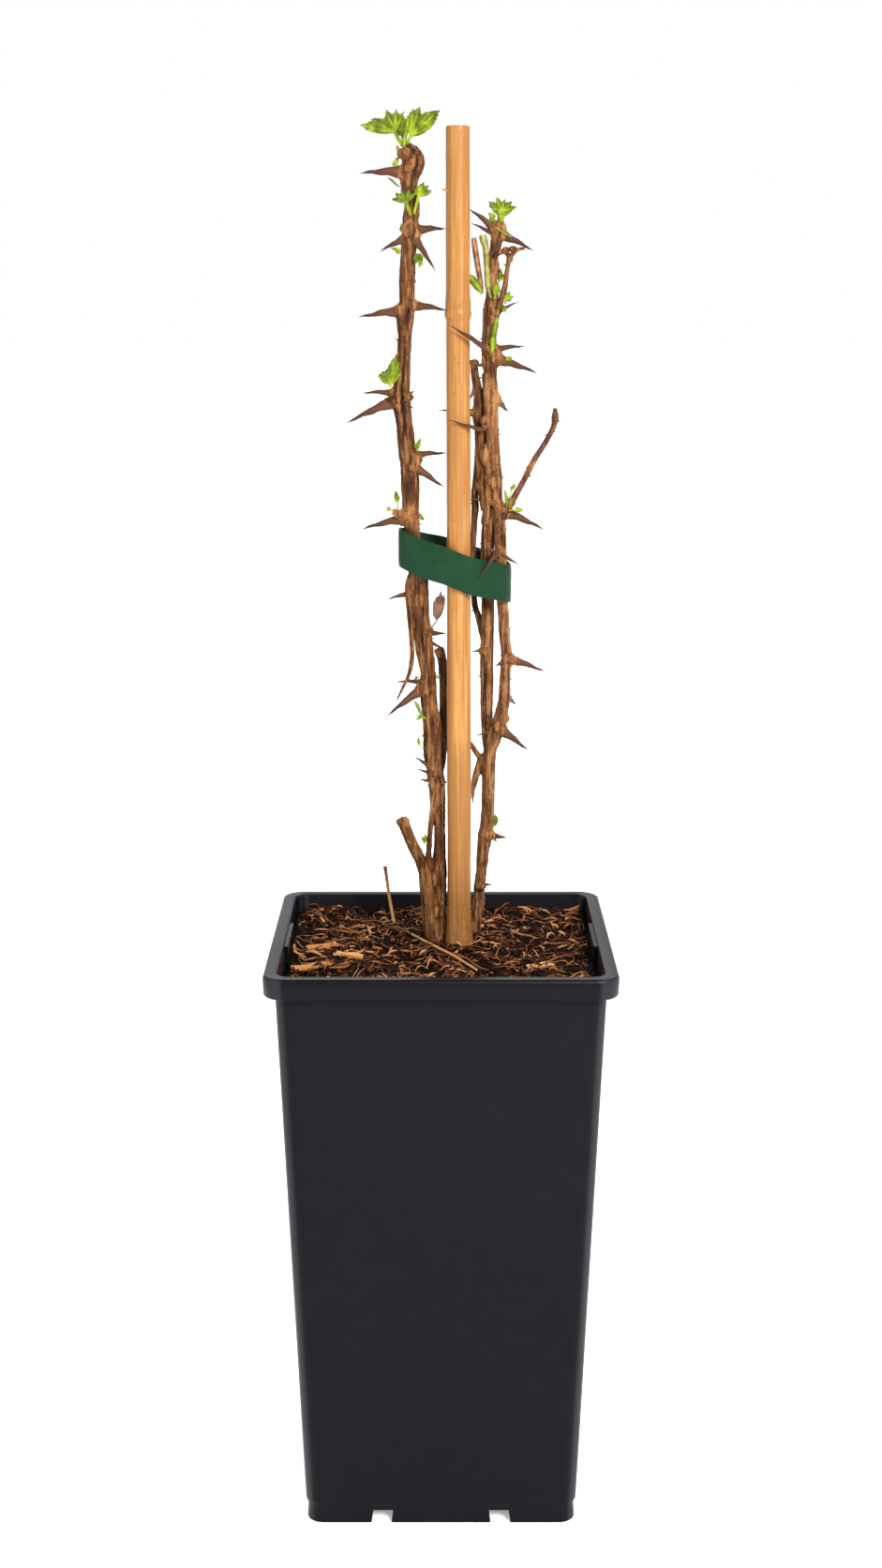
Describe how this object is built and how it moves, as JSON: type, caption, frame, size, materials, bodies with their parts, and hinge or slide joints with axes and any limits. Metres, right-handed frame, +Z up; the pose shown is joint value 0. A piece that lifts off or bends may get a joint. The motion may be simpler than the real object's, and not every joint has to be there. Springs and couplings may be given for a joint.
{
  "type": "potted gooseberry bush",
  "caption": "Dormant thorny fruit bush breaking into leaf, tied to a bamboo stake in a tall square black nursery pot of bark compost.",
  "frame": {"origin": "on the ground, under the middle of the pot", "axes": "+Z up along the plant and its stake, -Y towards the front of the pot, +X to the right seen from the front"},
  "size_m": [0.13, 0.13, 0.5305],
  "materials": {
    "pot_shell": "injection-moulded black polypropylene with a satin surface",
    "compost": "loose moist peat, coir and composted bark fibre",
    "bamboo": "dried bamboo cane with its natural skin",
    "tie_strip": "dark green soft plastic strip with a slight sheen",
    "bark": "brown ridged bark, reddish spines",
    "young_bark": "smooth red-brown young bark",
    "leaf_green": "soft fresh green leaf, lightly veined",
    "leaf_bronze": "bronze young leaf with a green edge",
    "straw": "dry stalk",
    "bark_chip": "torn bark splinter"
  },
  "bodies": {
    "root": {"pot": "pot_shell", "compost": "compost", "bamboo_stake": "bamboo", "tie_band": "tie_strip", "left_cane": "bark", "left_stub": "bark", "left_inner_shoot": "bark", "right_cane": "bark", "right_inner_cane": "bark", "right_back_cane": "bark", "right_twig": "young_bark", "right_dry_spur": "bark", "leaf_tip_left_1": "leaf_green", "leaf_tip_left_2": "leaf_green", "leaf_tip_left_3": "leaf_green", "leaf_tip_left_4": "leaf_green", "leaf_upper_left_1": "leaf_green", "leaf_upper_left_2": "leaf_green", "leaf_upper_left_3": "leaf_green", "leaf_under_spine": "leaf_green", "leaf_left_mid": "leaf_green", "leaf_left_inner": "leaf_green", "leaf_left_low": "leaf_green", "leaf_left_back": "leaf_green", "leaf_bronze": "leaf_bronze", "leaf_low_left_1": "leaf_green", "leaf_low_left_2": "leaf_green", "leaf_stub": "leaf_green", "leaf_tip_right_1": "leaf_green", "leaf_tip_right_2": "leaf_green", "leaf_tip_right_3": "leaf_green", "leaf_right_blade": "leaf_green", "leaf_right_bract": "leaf_bronze", "leaf_right_short": "leaf_green", "leaf_right_fan": "leaf_green", "leaf_right_side": "leaf_green", "leaf_right_upright": "leaf_green", "leaf_right_low": "leaf_green", "leaf_right_back": "leaf_green", "leaf_twig_1": "leaf_green", "leaf_twig_2": "leaf_green", "leaf_twig_3": "leaf_green", "leaf_low_right": "leaf_green", "straw_standing": "straw", "straw_long": "straw", "bark_chip_1": "bark_chip", "bark_chip_2": "bark_chip", "bark_chip_3": "bark_chip", "bark_chip_4": "bark_chip", "bark_chip_5": "bark_chip", "bark_chip_6": "bark_chip"}
  },
  "joints": []
}
